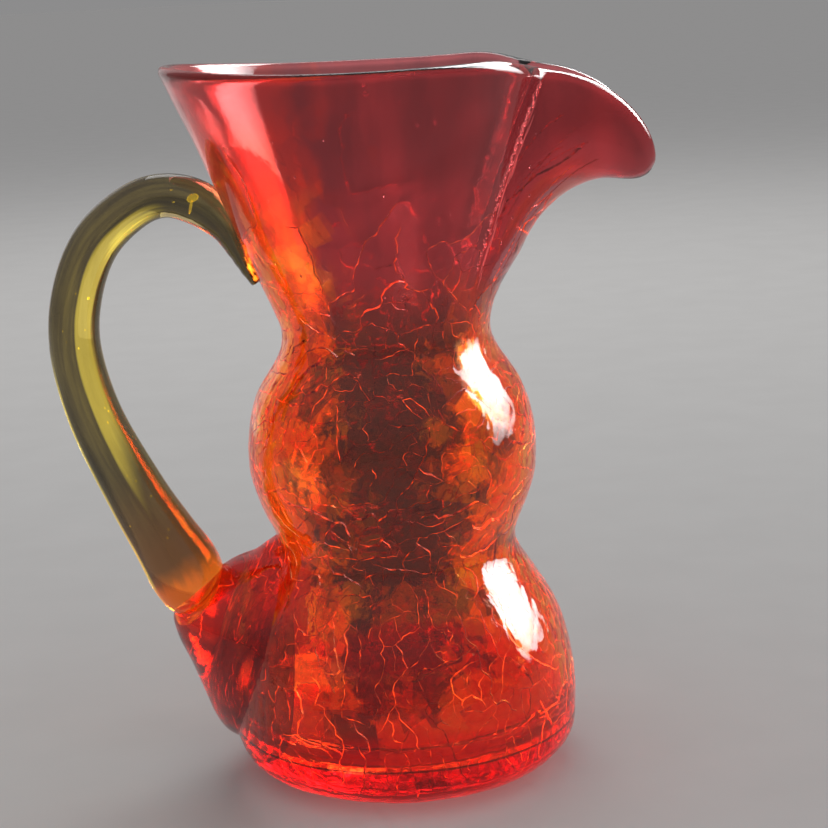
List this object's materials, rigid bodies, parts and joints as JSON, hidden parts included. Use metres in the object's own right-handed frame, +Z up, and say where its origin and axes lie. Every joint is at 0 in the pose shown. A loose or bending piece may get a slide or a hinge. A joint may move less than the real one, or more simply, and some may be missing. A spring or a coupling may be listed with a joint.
{
  "type": "glass pitcher",
  "caption": "Crackle glass pitcher with a bell foot, a round middle, a flared mouth pulled into a beak spout and a solid rod handle.",
  "frame": {"origin": "centre of the flat underside, on the vessel's turned axis", "axes": "+Z up the vessel's axis, +X towards the pouring spout, -X towards the handle, +Y completes the right-handed frame"},
  "size_m": [0.1792, 0.104, 0.212],
  "materials": {
    "ruby_crackle_glass": "glossy ruby glass shading to orange, with a net of fine cracks",
    "amber_glass": "clear glossy amber glass with fine lengthwise streaks",
    "red_glass": "glossy dark red glass with a few cracks"
  },
  "bodies": {
    "root": {"vessel_body": "ruby_crackle_glass", "handle": "amber_glass", "handle_gather": "red_glass"}
  },
  "joints": []
}
